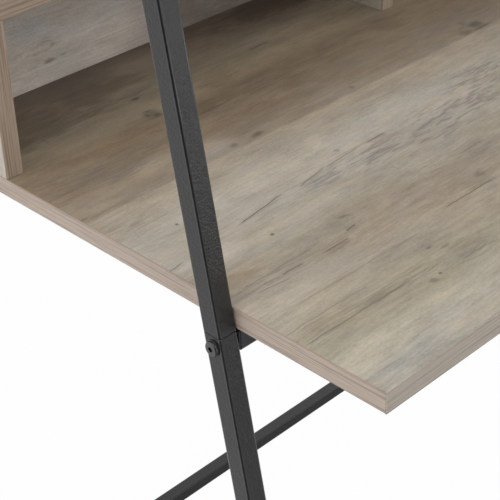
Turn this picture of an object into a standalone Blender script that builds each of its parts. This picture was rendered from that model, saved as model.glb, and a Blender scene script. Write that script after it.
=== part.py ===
"""Ladder-frame writing desk: boards between two square-tube side frames, a cubby hutch and an upper shelf.

Frame: metres, +Z up, X along the desk, -Y towards the sitter, origin on the floor under the desk's middle.
"""
from math import atan2, cos, pi, radians, sin, tan

import bmesh
import bpy
from mathutils import Matrix, Vector

# Heights and boards
DESK_HEIGHT = 0.762
TOTAL_HEIGHT = 1.270
DESKTOP_LENGTH = 1.115
DESKTOP_DEPTH = 0.635
SHELF_OVERHANG = 0.009
BOARD = 0.019
EDGE_BAND = 0.001
BAND_ARRIS = 0.0004

# Hutch on the back of the desktop
HUTCH_DEPTH = 0.1595
HUTCH_OPENING = 0.158
HUTCH_SETBACK = 0.0006

# Square tubes and how the side frames stand
TUBE = 0.020
STRETCHER_TUBE = 0.018
TUBE_WALL = 0.0012
INNER_CORNER = 0.0010
SMALLEST_CORNER = 0.0002
LEAN = radians(9.8)
LEG_SETBACK = 0.1636
REAR_LEG_INSET = 0.005
LEG_GAP = 0.0005
LOW_BAR_HEIGHT = 0.068

# Leg joints
SEAM_DROP = 0.001
SLEEVE_LENGTH = 0.110
SLEEVE_WALL = 0.0015

# Rail ends: a plate that stands out of the tube by a groove, with a nut welded behind it
END_PLATE = 0.003
END_GROOVE = 0.0015
NUT_DIAMETER = 0.0125
NUT_LENGTH = 0.012

# Bolts, each with a captive washer
BOLT_DIAMETER = 0.008
BOLT_CLEARANCE = 0.0004
BOLT_HEAD_DIAMETER = 0.014
BOLT_HEAD_HEIGHT = 0.0026
BOLT_HEAD_RIM = 0.0009
BOLT_SOCKET = 0.0045
BOLT_SOCKET_DEPTH = 0.0018
WASHER_DIAMETER = 0.015
WASHER = 0.0008

# Board screws and the lugs that hold the boards off the rails
SCREW_DIAMETER = 0.004
SCREW_HEAD_DIAMETER = 0.008
SCREW_HEAD_HEIGHT = 0.0026
SCREW_TIP = 0.003
SCREW_INSET = 0.150
SCREW_BITE = 0.012
LUG = 0.002
LUG_LENGTH = 0.030

# Dowels glued into the hutch boards
DOWEL_DIAMETER = 0.008
DOWEL_SEAT = 0.012
DOWEL_BITE = 0.010
DOWEL_CHAMFER = 0.001
DOWEL_INSET = 0.035
BACK_DOWEL_SPACING = 0.090

# Plastic feet
FOOT_FLANGE = 0.004
FOOT_PLUG = 0.025

# Fit and facets
GAP = 0.0003
CORNER_STEPS = 3
ROUND_STEPS = 16
SMALL_STEPS = 10
DOME_STEPS = 4
SMOOTH_ANGLE = radians(35)
WELD = 0.000001

# Places worked out from the sizes above
FRONT_EDGE_Y = -DESKTOP_DEPTH / 2
BACK_EDGE_Y = DESKTOP_DEPTH / 2
DESK_UNDERSIDE = DESK_HEIGHT - BOARD
TUBE_CORNER = INNER_CORNER + TUBE_WALL
TUBE_INSIDE = TUBE - 2 * TUBE_WALL
LEG_X = DESKTOP_LENGTH / 2 + LEG_GAP + TUBE / 2
LEG_INNER_X = LEG_X - TUBE / 2
LEG_OUTER_X = LEG_X + TUBE / 2
REAR_LEG_Y = BACK_EDGE_Y - REAR_LEG_INSET - TUBE / 2
SEAM_Z = DESK_UNDERSIDE - SEAM_DROP
RAIL_DROP = GAP + LUG + TUBE / 2
RAIL_Z = DESK_UNDERSIDE - RAIL_DROP
SHELF_TOP = TOTAL_HEIGHT - TUBE
SHELF_UNDERSIDE = SHELF_TOP - BOARD
SHELF_RAIL_Z = SHELF_UNDERSIDE - RAIL_DROP
HUTCH_FRONT_Y = BACK_EDGE_Y - HUTCH_DEPTH
BACK_BOARD_FACE_Y = BACK_EDGE_Y - BOARD
HUTCH_TOP_UNDERSIDE = DESK_HEIGHT + HUTCH_OPENING
HUTCH_SIDE_X = DESKTOP_LENGTH / 2 - HUTCH_SETBACK - BOARD / 2
UPRIGHTS = {"hutch_side_left": -HUTCH_SIDE_X, "hutch_divider": 0.0, "hutch_side_right": HUTCH_SIDE_X}
UPRIGHT_FOOT = DESK_HEIGHT + GAP
UPRIGHT_HEAD = HUTCH_TOP_UNDERSIDE - GAP
BACK_BOARD_END_X = HUTCH_SIDE_X - BOARD / 2 - GAP
TOP_BAR_Z = TOTAL_HEIGHT - TUBE / 2
BLOCK = 8 * TUBE
BLOCK_WIDTH = 2 * (LEG_X + TUBE)
SIDES = {"left": -1, "right": 1}
UP = Vector((0, 0, 1))

# Colour, roughness and metallic value of each finish
FINISHES = {
    "laminate": ((0.36, 0.32, 0.26), 0.55, 0.0),
    "edge_band": ((0.36, 0.27, 0.22), 0.50, 0.0),
    "powder_coat": ((0.045, 0.045, 0.047), 0.55, 0.0),
    "black_plastic": ((0.02, 0.02, 0.02), 0.50, 0.0),
    "bolt_steel": ((0.30, 0.30, 0.31), 0.35, 1.0),
    "zinc": ((0.62, 0.62, 0.60), 0.35, 1.0),
}


def leg_axis_y(height):
    """Where the middle of a leaning front leg is at a height."""
    at_desktop = FRONT_EDGE_Y + LEG_SETBACK + TUBE / 2 / cos(LEAN)
    return at_desktop + tan(LEAN) * (height - DESK_HEIGHT)


FRONT_RAIL_Y = leg_axis_y(RAIL_Z)
SHELF_FRONT_RAIL_Y = leg_axis_y(SHELF_RAIL_Z)
SHELF_FRONT_Y = SHELF_FRONT_RAIL_Y - TUBE / 2 - SHELF_OVERHANG

# Depth and height of each member that runs along X between the side frames, which is also its bolts' axis
MEMBERS = {
    "front_rail": (FRONT_RAIL_Y, RAIL_Z),
    "rear_rail": (REAR_LEG_Y, RAIL_Z),
    "shelf_front_rail": (SHELF_FRONT_RAIL_Y, SHELF_RAIL_Z),
    "shelf_rear_rail": (REAR_LEG_Y, SHELF_RAIL_Z),
    "stretcher": (REAR_LEG_Y, LOW_BAR_HEIGHT),
}
RAILS = [name for name in MEMBERS if name != "stretcher"]


def new_collection(name):
    collection = bpy.data.collections.new(name)
    bpy.context.scene.collection.children.link(collection)
    return collection


def material(name, finish):
    colour, roughness, metallic = FINISHES[finish]
    result = bpy.data.materials.new(f"{name}_{finish}")
    result.use_nodes = True
    shader = result.node_tree.nodes["Principled BSDF"]
    shader.inputs["Base Color"].default_value = (*colour, 1.0)
    shader.inputs["Roughness"].default_value = roughness
    shader.inputs["Metallic"].default_value = metallic
    return result


def add_part(name, mesh, finish, place=(0, 0, 0), turn=(0, 0, 0)):
    """One named piece of the desk, standing on the root empty."""
    piece = bpy.data.objects.new(name, mesh)
    piece.location = place
    piece.rotation_euler = turn
    piece.data.materials.clear()
    piece.data.materials.append(material(name, finish))
    piece.data.shade_smooth()
    piece.data.set_sharp_from_angle(angle=SMOOTH_ANGLE)
    piece.parent = root
    parts.objects.link(piece)
    return piece


def add_cutter(name, mesh, place=(0, 0, 0), turn=(0, 0, 0)):
    cutter = bpy.data.objects.new(name, mesh)
    cutter.location = place
    cutter.rotation_euler = turn
    cutter.hide_render = True
    cutter.display_type = "WIRE"
    cutters.objects.link(cutter)
    return cutter


def cut(piece, *tools):
    for tool in tools:
        modifier = piece.modifiers.new(tool.name, "BOOLEAN")
        modifier.operation = "DIFFERENCE"
        modifier.solver = "EXACT"
        modifier.object = tool
    return piece


def evaluated_mesh(piece):
    """The mesh of an unfinished object, modifiers applied and seams welded; the object is removed."""
    if piece.name not in bpy.context.scene.collection.objects:
        bpy.context.scene.collection.objects.link(piece)
    depsgraph = bpy.context.evaluated_depsgraph_get()
    mesh = bpy.data.meshes.new_from_object(piece.evaluated_get(depsgraph))
    bpy.data.objects.remove(piece)
    shape = bmesh.new()
    shape.from_mesh(mesh)
    bmesh.ops.remove_doubles(shape, verts=shape.verts, dist=WELD)
    bmesh.ops.recalc_face_normals(shape, faces=shape.faces)
    shape.to_mesh(mesh)
    shape.free()
    return mesh


def combined(base, tool, operation):
    """One mesh from two, by a Boolean."""
    base_piece = bpy.data.objects.new("base", base)
    tool_piece = bpy.data.objects.new("tool", tool)
    bpy.context.scene.collection.objects.link(tool_piece)
    modifier = base_piece.modifiers.new("join", "BOOLEAN")
    modifier.operation = operation
    modifier.solver = "EXACT"
    modifier.object = tool_piece
    mesh = evaluated_mesh(base_piece)
    bpy.data.objects.remove(tool_piece)
    return mesh


def box_mesh(size, place=(0, 0, 0)):
    shape = bmesh.new()
    bmesh.ops.create_cube(shape, size=1.0)
    bmesh.ops.scale(shape, vec=size, verts=shape.verts)
    bmesh.ops.translate(shape, vec=place, verts=shape.verts)
    mesh = bpy.data.meshes.new("box")
    shape.to_mesh(mesh)
    shape.free()
    return mesh


def cylinder_mesh(diameter, length, steps, base=0.0):
    """A cylinder along Z that starts at the height base."""
    shape = bmesh.new()
    middle = Matrix.Translation((0, 0, base + length / 2))
    bmesh.ops.create_cone(shape, cap_ends=True, segments=steps, radius1=diameter / 2, radius2=diameter / 2,
                          depth=length, matrix=middle)
    mesh = bpy.data.meshes.new("cylinder")
    shape.to_mesh(mesh)
    shape.free()
    return mesh


def turned_mesh(profile, steps):
    """A profile of radius and height turned about Z; it starts and ends on the axis."""
    edges = [(i, i + 1) for i in range(len(profile) - 1)]
    mesh = bpy.data.meshes.new("profile")
    mesh.from_pydata([(radius, 0, height) for radius, height in profile], edges, [])
    piece = bpy.data.objects.new("turned", mesh)
    screw = piece.modifiers.new("turn", "SCREW")
    screw.steps = steps
    screw.render_steps = steps
    screw.use_merge_vertices = True
    screw.merge_threshold = WELD
    return evaluated_mesh(piece)


def rounded_outline(width, depth, corner):
    """Points of a rectangle with round corners, each corner a quarter circle."""
    points = []
    for quarter, (x_side, y_side) in enumerate(((1, 1), (-1, 1), (-1, -1), (1, -1))):
        centre_x = x_side * (width / 2 - corner)
        centre_y = y_side * (depth / 2 - corner)
        for step in range(CORNER_STEPS + 1):
            angle = pi / 2 * (quarter + step / CORNER_STEPS)
            points.append((centre_x + corner * cos(angle), centre_y + corner * sin(angle)))
    return points


def prism_mesh(outlines, length):
    """Flat outlines, the first one outside the others, extruded along Z about the origin."""
    curve = bpy.data.curves.new("outline", "CURVE")
    curve.dimensions = "2D"
    curve.fill_mode = "BOTH"
    curve.extrude = length / 2
    for outline in outlines:
        spline = curve.splines.new("POLY")
        spline.points.add(len(outline) - 1)
        for point, (x, y) in zip(spline.points, outline):
            point.co = (x, y, 0, 1)
        spline.use_cyclic_u = True
    return evaluated_mesh(bpy.data.objects.new("outline", curve))


def tube_mesh(side, wall, corner, length):
    """A square tube along Z about the origin, open at both ends."""
    inside = side - 2 * wall
    inner_corner = max(corner - wall, SMALLEST_CORNER)
    outlines = (rounded_outline(side, side, corner), rounded_outline(inside, inside, inner_corner))
    return prism_mesh(outlines, length)


def copies_mesh(mesh, places):
    """Separate copies of one mesh, each at its own matrix, in one mesh."""
    shape = bmesh.new()
    for place in places:
        copy = mesh.copy()
        copy.transform(place)
        shape.from_mesh(copy)
        bpy.data.meshes.remove(copy)
    result = bpy.data.meshes.new("copies")
    shape.to_mesh(result)
    shape.free()
    return result


def facing(sign):
    """Turns +Z to the outside of the left or right frame."""
    return Matrix.Rotation(sign * pi / 2, 4, "Y")


def at(x, y, z):
    return Matrix.Translation((x, y, z))


# Cutters: bolt holes and the planes that end the tubes

def bolt_hole_cutter():
    """One hole per bolt, from outside the leg to past the far end of the rail's nut."""
    margin = TUBE / 2
    depth = TUBE + GAP + END_PLATE + NUT_LENGTH + 2 * margin
    hole = cylinder_mesh(BOLT_DIAMETER + 2 * BOLT_CLEARANCE, depth, ROUND_STEPS, base=margin - depth)
    places = [at(sign * LEG_OUTER_X, y, z) @ facing(sign)
              for sign in SIDES.values() for y, z in MEMBERS.values()]
    return add_cutter("bolt_holes", copies_mesh(hole, places))


def half_space(name, y, z, normal):
    """A block on one side of a plane along X, which it passes by half a gap."""
    turn = atan2(-normal.y, normal.z)
    place = Vector((0, y, z)) + normal * (BLOCK - GAP) / 2
    return add_cutter(name, box_mesh((BLOCK_WIDTH, BLOCK, BLOCK)), place, (turn, 0, 0))


def level_cutter(name, height, way):
    """A block across all four legs that starts at a height and reaches up or down from it."""
    size = (BLOCK_WIDTH, 2 * DESKTOP_DEPTH, BLOCK)
    return add_cutter(name, box_mesh(size), (0, 0, height + way * BLOCK / 2))


def lean_place(height, along):
    """A point on the front leg's middle line: at a height, then a distance along the leaning tube."""
    return Vector((0, leg_axis_y(height) + along * sin(LEAN), height + along * cos(LEAN)))


# Side frames

def leg_tubes(side, sign):
    """Front and rear leg of one side: a lower and an upper tube that meet at a level seam over a sleeve."""
    lower = (SEAM_Z + TUBE) / cos(LEAN)
    upper = (TOTAL_HEIGHT - SEAM_Z + TUBE) / cos(LEAN)
    sleeve_side = TUBE_INSIDE - 2 * GAP
    out = Vector((sign * LEG_X, 0, 0))
    legs = (
        ("front", lean_place(SEAM_Z, 0), Vector((0, sin(LEAN), cos(LEAN))), (-LEAN, 0, 0), front_leg_mitre),
        ("rear", Vector((0, REAR_LEG_Y, SEAM_Z)), UP, (0, 0, 0), rear_leg_mitre),
    )
    for leg, seam, along, turn, mitre in legs:
        low_tube = tube_mesh(TUBE, TUBE_WALL, TUBE_CORNER, lower)
        place = out + seam - along * (lower - TUBE) / 2
        low_leg = add_part(f"{leg}_leg_lower_{side}", low_tube, "powder_coat", place, turn)
        cut(low_leg, floor, above_seam, bolt_holes)
        high_tube = tube_mesh(TUBE, TUBE_WALL, TUBE_CORNER, upper)
        place = out + seam + along * (upper - TUBE) / 2
        high_leg = add_part(f"{leg}_leg_upper_{side}", high_tube, "powder_coat", place, turn)
        cut(high_leg, mitre, below_seam, bolt_holes)
        sleeve = tube_mesh(sleeve_side, SLEEVE_WALL, INNER_CORNER - GAP, SLEEVE_LENGTH)
        cut(add_part(f"{leg}_sleeve_{side}", sleeve, "zinc", out + seam, turn), bolt_holes)


def leg_envelope(side, sign):
    """The space of the leaning leg, with clearance, which ends the low side bar."""
    envelope = TUBE + 2 * GAP
    solid = prism_mesh((rounded_outline(envelope, envelope, TUBE_CORNER),), DESK_HEIGHT)
    place = lean_place(LOW_BAR_HEIGHT, 0) + Vector((sign * LEG_X, 0, 0))
    return add_cutter(f"leg_envelope_{side}", solid, place, (-LEAN, 0, 0))


def side_bars(side, sign):
    """Low bar that butts on both legs, and top bar that is mitred to both."""
    low_front = leg_axis_y(LOW_BAR_HEIGHT)
    low_back = REAR_LEG_Y - TUBE / 2 - GAP
    low = tube_mesh(TUBE, TUBE_WALL, TUBE_CORNER, low_back - low_front)
    low_place = (sign * LEG_X, (low_front + low_back) / 2, LOW_BAR_HEIGHT)
    cut(add_part(f"side_bar_low_{side}", low, "powder_coat", low_place, (pi / 2, 0, 0)),
        leg_envelope(side, sign))

    top_front = leg_axis_y(TOP_BAR_Z) - TUBE
    top_back = REAR_LEG_Y + TUBE
    top = tube_mesh(TUBE, TUBE_WALL, TUBE_CORNER, top_back - top_front)
    top_place = (sign * LEG_X, (top_front + top_back) / 2, TOP_BAR_Z)
    cut(add_part(f"side_bar_top_{side}", top, "powder_coat", top_place, (pi / 2, 0, 0)),
        front_bar_mitre, rear_bar_mitre)


def feet(side, sign):
    """A plug in the end of each leg, with a flange that stands on the floor."""
    plug_side = TUBE_INSIDE - 2 * GAP
    plug_outline = rounded_outline(plug_side, plug_side, INNER_CORNER)
    for leg, lean, y in (("front", LEAN, leg_axis_y(FOOT_FLANGE)), ("rear", 0.0, REAR_LEG_Y)):
        flange = prism_mesh((rounded_outline(TUBE, TUBE / cos(lean), TUBE_CORNER),), FOOT_FLANGE)
        flange.transform(at(0, 0, FOOT_FLANGE / 2))
        plug = prism_mesh((plug_outline,), 2 * FOOT_PLUG)
        plug.transform(at(0, 0, FOOT_FLANGE) @ Matrix.Rotation(-lean, 4, "X"))
        below = box_mesh((2 * TUBE, 2 * TUBE, 2 * FOOT_PLUG), (0, 0, FOOT_FLANGE / 2 - FOOT_PLUG))
        foot = combined(flange, combined(plug, below, "DIFFERENCE"), "UNION")
        add_part(f"{leg}_foot_{side}", foot, "black_plastic", (sign * LEG_X, y, 0))


# Members that run along X between the side frames

def screw_places():
    """The two places along a rail where a screw holds the board."""
    return {side: sign * (DESKTOP_LENGTH / 2 - SCREW_INSET) for side, sign in SIDES.items()}


def member_mesh(tube_side):
    """A tube along X with a plate standing out of each end and a nut welded behind the plate."""
    reach = LEG_INNER_X - GAP
    mesh = tube_mesh(tube_side, TUBE_WALL, TUBE_CORNER, 2 * (reach - END_GROOVE))
    mesh.transform(facing(1))
    plate_side = tube_side - TUBE_WALL
    for sign in SIDES.values():
        plate = box_mesh((plate_side, plate_side, END_PLATE), (0, 0, -END_PLATE / 2))
        nut_length = END_PLATE / 2 + NUT_LENGTH
        nut = cylinder_mesh(NUT_DIAMETER, nut_length, ROUND_STEPS, base=-END_PLATE - NUT_LENGTH)
        end = combined(plate, nut, "UNION")
        end.transform(at(sign * reach, 0, 0) @ facing(sign))
        mesh = combined(mesh, end, "UNION")
    return mesh


def rail_mesh():
    """A member with a lug on its top at each screw, on which the board rests."""
    mesh = member_mesh(TUBE)
    sunk = TUBE_WALL / 2
    size = (LUG_LENGTH, TUBE - 2 * TUBE_CORNER, LUG + sunk)
    for x in screw_places().values():
        lug = box_mesh(size, (x, 0, TUBE / 2 + (LUG - sunk) / 2))
        mesh = combined(mesh, lug, "UNION")
    return mesh


def members():
    """Two rails under the desktop, two under the upper shelf, and the stretcher between the rear legs."""
    rail = rail_mesh()
    for name in RAILS:
        cut(add_part(name, rail.copy(), "powder_coat", (0, *MEMBERS[name])), bolt_holes, screw_holes)
    stretcher = member_mesh(STRETCHER_TUBE)
    cut(add_part("stretcher", stretcher, "powder_coat", (0, *MEMBERS["stretcher"])), bolt_holes)


# Bolts and screws

def bolt_mesh():
    """Button-head bolt with a captive washer and a hexagon socket; its washer bears on the plane Z = 0."""
    shank = TUBE + 2 * GAP + END_PLATE + NUT_LENGTH
    head = BOLT_HEAD_DIAMETER / 2
    profile = [(0.0, WASHER + BOLT_HEAD_HEIGHT)]
    for step in range(1, DOME_STEPS + 1):
        angle = pi / 2 * step / DOME_STEPS
        rise = BOLT_HEAD_RIM + (BOLT_HEAD_HEIGHT - BOLT_HEAD_RIM) * cos(angle)
        profile.append((head * sin(angle), WASHER + rise))
    profile += [(head, WASHER), (WASHER_DIAMETER / 2, WASHER), (WASHER_DIAMETER / 2, 0.0),
                (BOLT_DIAMETER / 2, 0.0), (BOLT_DIAMETER / 2, -shank), (0.0, -shank)]
    bolt = turned_mesh(profile, ROUND_STEPS)
    socket_base = WASHER + BOLT_HEAD_HEIGHT - BOLT_SOCKET_DEPTH
    socket = cylinder_mesh(BOLT_SOCKET / cos(pi / 6), BOLT_HEAD_HEIGHT, 6, base=socket_base)
    return combined(bolt, socket, "DIFFERENCE")


def bolts():
    """A bolt in each end of each member, through the leg and its sleeve into the nut."""
    bolt = bolt_mesh()
    for name, (y, z) in MEMBERS.items():
        for side, sign in SIDES.items():
            place = (sign * (LEG_OUTER_X + GAP), y, z)
            add_part(f"{name}_bolt_{side}", bolt.copy(), "bolt_steel", place, (0, sign * pi / 2, 0))


def screw_hole_cutter():
    """Holes up through both walls of a rail and its lug into the board."""
    length = TUBE + RAIL_DROP + SCREW_BITE + GAP
    hole = cylinder_mesh(SCREW_DIAMETER + 2 * GAP, length, SMALL_STEPS, base=-TUBE)
    places = [at(x, *MEMBERS[name]) for name in RAILS for x in screw_places().values()]
    return add_cutter("screw_holes", copies_mesh(hole, places))


def screws():
    """Pan-head screws from under the rails into the desktop and the upper shelf."""
    head, shank = SCREW_HEAD_DIAMETER / 2, SCREW_DIAMETER / 2
    head_drop = TUBE / 2 + GAP
    length = head_drop + RAIL_DROP + SCREW_BITE
    profile = [(0, length), (shank, length - SCREW_TIP), (shank, 0), (head, 0),
               (head, -SCREW_HEAD_HEIGHT / 2), (head / 2, -SCREW_HEAD_HEIGHT), (0, -SCREW_HEAD_HEIGHT)]
    screw = turned_mesh(profile, SMALL_STEPS)
    for name in RAILS:
        y, z = MEMBERS[name]
        for side, x in screw_places().items():
            add_part(f"{name}_screw_{side}", screw.copy(), "zinc", (x, y, z - head_drop))


# Boards with banded edges

def band_mesh(size, outward):
    """A strip of banding whose two long outer edges are rounded; outward is its outside direction."""
    mesh = box_mesh(size)
    shape = bmesh.new()
    shape.from_mesh(mesh)
    longest = max(size)
    edges = [edge for edge in shape.edges
             if edge.calc_length() > longest / 2 and all(vert.co.dot(outward) > 0 for vert in edge.verts)]
    bmesh.ops.bevel(shape, geom=edges, offset=BAND_ARRIS, segments=2, profile=0.5, affect="EDGES")
    shape.to_mesh(mesh)
    shape.free()
    return mesh


def banded_board(name, low, high, bands, tools=()):
    """A board between two corners; each banded edge is a strip of its own, where the core stops short."""
    core_low, core_high = Vector(low), Vector(high)
    outward = {"left": (0, -1), "right": (0, 1), "front": (1, -1), "back": (1, 1)}
    for band in bands:
        axis, way = outward[band]
        if way < 0:
            core_low[axis] += EDGE_BAND + GAP
        else:
            core_high[axis] -= EDGE_BAND + GAP
    for band in bands:
        axis, way = outward[band]
        band_low, band_high = Vector(low), Vector(high)
        if axis == 0:
            band_low.y, band_high.y = core_low.y, core_high.y
        if way < 0:
            band_high[axis] = low[axis] + EDGE_BAND
        else:
            band_low[axis] = high[axis] - EDGE_BAND
        direction = Vector((0, 0, 0))
        direction[axis] = way
        strip = band_mesh(band_high - band_low, direction)
        add_part(f"{name}_edge_{band}", strip, "edge_band", (band_low + band_high) / 2)
    core = box_mesh(core_high - core_low)
    return cut(add_part(name, core, "laminate", (core_low + core_high) / 2), *tools)


def desktop_and_shelf():
    half = DESKTOP_LENGTH / 2
    banded_board("desktop", (-half, FRONT_EDGE_Y, DESK_UNDERSIDE), (half, BACK_EDGE_Y, DESK_HEIGHT),
                 ("front", "back", "left", "right"), (screw_holes, upright_dowel_holes))
    banded_board("upper_shelf", (-half, SHELF_FRONT_Y, SHELF_UNDERSIDE), (half, BACK_EDGE_Y, SHELF_TOP),
                 ("front",), (screw_holes,))


# Hutch

def dowel_places():
    """For each board that carries dowels, their matrices, with +Z into the board that takes them."""
    depths = (HUTCH_FRONT_Y + DOWEL_INSET, BACK_BOARD_FACE_Y - DOWEL_INSET)
    down = Matrix.Rotation(pi, 4, "X")
    places = {}
    for name, x in UPRIGHTS.items():
        feet_places = [at(x, y, UPRIGHT_FOOT) @ down for y in depths]
        places[name] = feet_places + [at(x, y, UPRIGHT_HEAD) for y in depths]
    back_y = (BACK_BOARD_FACE_Y + BACK_EDGE_Y) / 2
    middle_z = (UPRIGHT_FOOT + UPRIGHT_HEAD) / 2
    heights = (middle_z - BACK_DOWEL_SPACING / 2, middle_z + BACK_DOWEL_SPACING / 2)
    places["hutch_back"] = [at(sign * BACK_BOARD_END_X, back_y, z) @ facing(sign)
                            for sign in SIDES.values() for z in heights]
    return places


def dowel_hole_cutter(name, boards):
    """Blind holes, in the boards that take them, for the dowels that some boards carry."""
    hole = cylinder_mesh(DOWEL_DIAMETER + 2 * GAP, DOWEL_BITE + 3 * GAP, SMALL_STEPS, base=-2 * GAP)
    places = [place for board in boards for place in dowel_places()[board]]
    return add_cutter(name, copies_mesh(hole, places))


def glue_dowels(piece):
    """Fuses a board with the dowels that are glued into it."""
    radius = DOWEL_DIAMETER / 2
    profile = [(0, DOWEL_BITE), (radius - DOWEL_CHAMFER, DOWEL_BITE), (radius, DOWEL_BITE - DOWEL_CHAMFER),
               (radius, -DOWEL_SEAT), (0, -DOWEL_SEAT)]
    dowel = turned_mesh(profile, SMALL_STEPS)
    dowels = add_cutter(f"{piece.name}_dowels", copies_mesh(dowel, dowel_places()[piece.name]))
    modifier = piece.modifiers.new(dowels.name, "BOOLEAN")
    modifier.operation = "UNION"
    modifier.solver = "EXACT"
    modifier.object = dowels


def hutch():
    """Three uprights and a back board on the desktop, with a top board over them."""
    for name, x in UPRIGHTS.items():
        inner = name == "hutch_divider"
        back_y = BACK_BOARD_FACE_Y - GAP if inner else BACK_EDGE_Y
        corners = (x - BOARD / 2, HUTCH_FRONT_Y, UPRIGHT_FOOT), (x + BOARD / 2, back_y, UPRIGHT_HEAD)
        board = banded_board(name, *corners, ("front",))
        if not inner:
            cut(board, back_dowel_holes)
        glue_dowels(board)
    end_x = BACK_BOARD_END_X
    corners = (-end_x, BACK_BOARD_FACE_Y, UPRIGHT_FOOT), (end_x, BACK_EDGE_Y, UPRIGHT_HEAD)
    glue_dowels(banded_board("hutch_back", *corners, ()))
    end_x = DESKTOP_LENGTH / 2 - HUTCH_SETBACK
    hutch_top = HUTCH_TOP_UNDERSIDE + BOARD
    corners = (-end_x, HUTCH_FRONT_Y, HUTCH_TOP_UNDERSIDE), (end_x, BACK_EDGE_Y, hutch_top)
    banded_board("hutch_top", *corners, ("front",), (upright_dowel_holes,))


for old in list(bpy.data.objects):
    bpy.data.objects.remove(old)
parts = new_collection("ladder_desk")
cutters = new_collection("cutters")
root = bpy.data.objects.new("desk_origin", None)
parts.objects.link(root)

bolt_holes = bolt_hole_cutter()
screw_holes = screw_hole_cutter()
upright_dowel_holes = dowel_hole_cutter("upright_dowel_holes", UPRIGHTS)
back_dowel_holes = dowel_hole_cutter("back_dowel_holes", ["hutch_back"])
floor = level_cutter("floor", FOOT_FLANGE + GAP, -1)
above_seam = level_cutter("above_seam", SEAM_Z - GAP / 2, 1)
below_seam = level_cutter("below_seam", SEAM_Z + GAP / 2, -1)
front_bend = Vector((0, 1 + sin(LEAN), cos(LEAN))).normalized()
rear_bend = Vector((0, 1, -1)).normalized()
front_leg_mitre = half_space("front_leg_mitre", leg_axis_y(TOP_BAR_Z), TOP_BAR_Z, front_bend)
front_bar_mitre = half_space("front_bar_mitre", leg_axis_y(TOP_BAR_Z), TOP_BAR_Z, -front_bend)
rear_bar_mitre = half_space("rear_bar_mitre", REAR_LEG_Y, TOP_BAR_Z, rear_bend)
rear_leg_mitre = half_space("rear_leg_mitre", REAR_LEG_Y, TOP_BAR_Z, -rear_bend)

for frame_side, frame_sign in SIDES.items():
    leg_tubes(frame_side, frame_sign)
    side_bars(frame_side, frame_sign)
    feet(frame_side, frame_sign)
members()
bolts()
screws()
desktop_and_shelf()
hutch()
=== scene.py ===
"""Looks of a ladder-frame writing desk: its finishes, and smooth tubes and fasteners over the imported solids.

Frame: metres, +Z up, X along the desk, -Y towards the sitter, origin on the floor under the desk's middle.
"""

from math import cos, pi, radians, sin, tan

import bpy
import numpy as np
from mathutils import Matrix, Vector


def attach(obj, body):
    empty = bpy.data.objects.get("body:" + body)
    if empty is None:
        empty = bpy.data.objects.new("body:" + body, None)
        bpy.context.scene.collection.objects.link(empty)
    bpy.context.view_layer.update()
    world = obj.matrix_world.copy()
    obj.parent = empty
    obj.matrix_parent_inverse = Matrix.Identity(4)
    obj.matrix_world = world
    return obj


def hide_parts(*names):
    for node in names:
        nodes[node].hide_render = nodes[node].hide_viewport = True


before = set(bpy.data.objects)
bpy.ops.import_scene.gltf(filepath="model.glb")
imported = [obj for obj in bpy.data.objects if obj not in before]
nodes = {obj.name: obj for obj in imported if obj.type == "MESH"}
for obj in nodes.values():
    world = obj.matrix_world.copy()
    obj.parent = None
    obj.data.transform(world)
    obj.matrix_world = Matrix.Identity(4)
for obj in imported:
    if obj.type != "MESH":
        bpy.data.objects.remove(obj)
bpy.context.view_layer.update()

MM = 1000.0  # in a metre; the prints are laid out in millimetres

# Sizes of the solids that the scene's own pieces follow
DESK_HEIGHT = 0.762
TOTAL_HEIGHT = 1.270
DESKTOP_LENGTH = 1.115
DESKTOP_DEPTH = 0.635
BOARD = 0.019
TUBE = 0.020
STRETCHER_TUBE = 0.018
TUBE_WALL = 0.0012
TUBE_CORNER = 0.0022
LEAN = radians(9.8)
LEG_SETBACK = 0.1636
REAR_LEG_INSET = 0.005
LEG_GAP = 0.0005
LOW_BAR_HEIGHT = 0.068
SEAM_DROP = 0.001
END_PLATE = 0.003
END_GROOVE = 0.0015
LUG = 0.002
LUG_LENGTH = 0.030
SCREW_INSET = 0.150
FOOT_FLANGE = 0.004
HUTCH_OPENING = 0.158
HUTCH_SETBACK = 0.0006
GAP = 0.0003

BOLT_DIAMETER = 0.008
BOLT_SHANK = 0.0356
BOLT_HEAD_DIAMETER = 0.014
BOLT_HEAD_HEIGHT = 0.0026
BOLT_HEAD_RIM = 0.0009
BOLT_SOCKET = 0.0045
BOLT_SOCKET_DEPTH = 0.0018
WASHER_DIAMETER = 0.015
WASHER = 0.0008
SCREW_DIAMETER = 0.004
SCREW_LENGTH = 0.0356
SCREW_TIP = 0.003
SCREW_HEAD_DIAMETER = 0.008
SCREW_HEAD_HEIGHT = 0.0026
FOOT_PLUG = 0.025

# Details that only the scene has
END_ROUNDING = 0.0005
SMALL_ROUNDING = 0.0003
CORNER_STEPS = 8
HOLD = 0.00015
TURN_STEPS = 48
DOME_STEPS = 8
BOLT_FACE_DIAMETER = 0.0108
BOLT_DISH = 0.0003
CROSS_REACH = 0.0023
CROSS_WIDTH = 0.0011
CROSS_DEPTH = 0.0014
CROSS_LIP = 1.02
CROSS_TAPER = 0.5
SCREW_FLANK = 0.45
SCREW_DOME = (0.2, 0.85)
SCREW_FACE = 0.96
TINY = 1e-9
WELD_SIZE = 0.0022
WELD_RIPPLE = 0.0014
WELD_RIPPLE_SHARE = 0.1
WELD_STEPS = 61
WELD_ARC_STEPS = 9
WELD_OVERRUN = 0.15
WELD_ROOT = 0.15
WELD_END_DROP = 0.6
WELD_END_POWER = 8
SMOOTH_ANGLE = radians(35)

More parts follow.
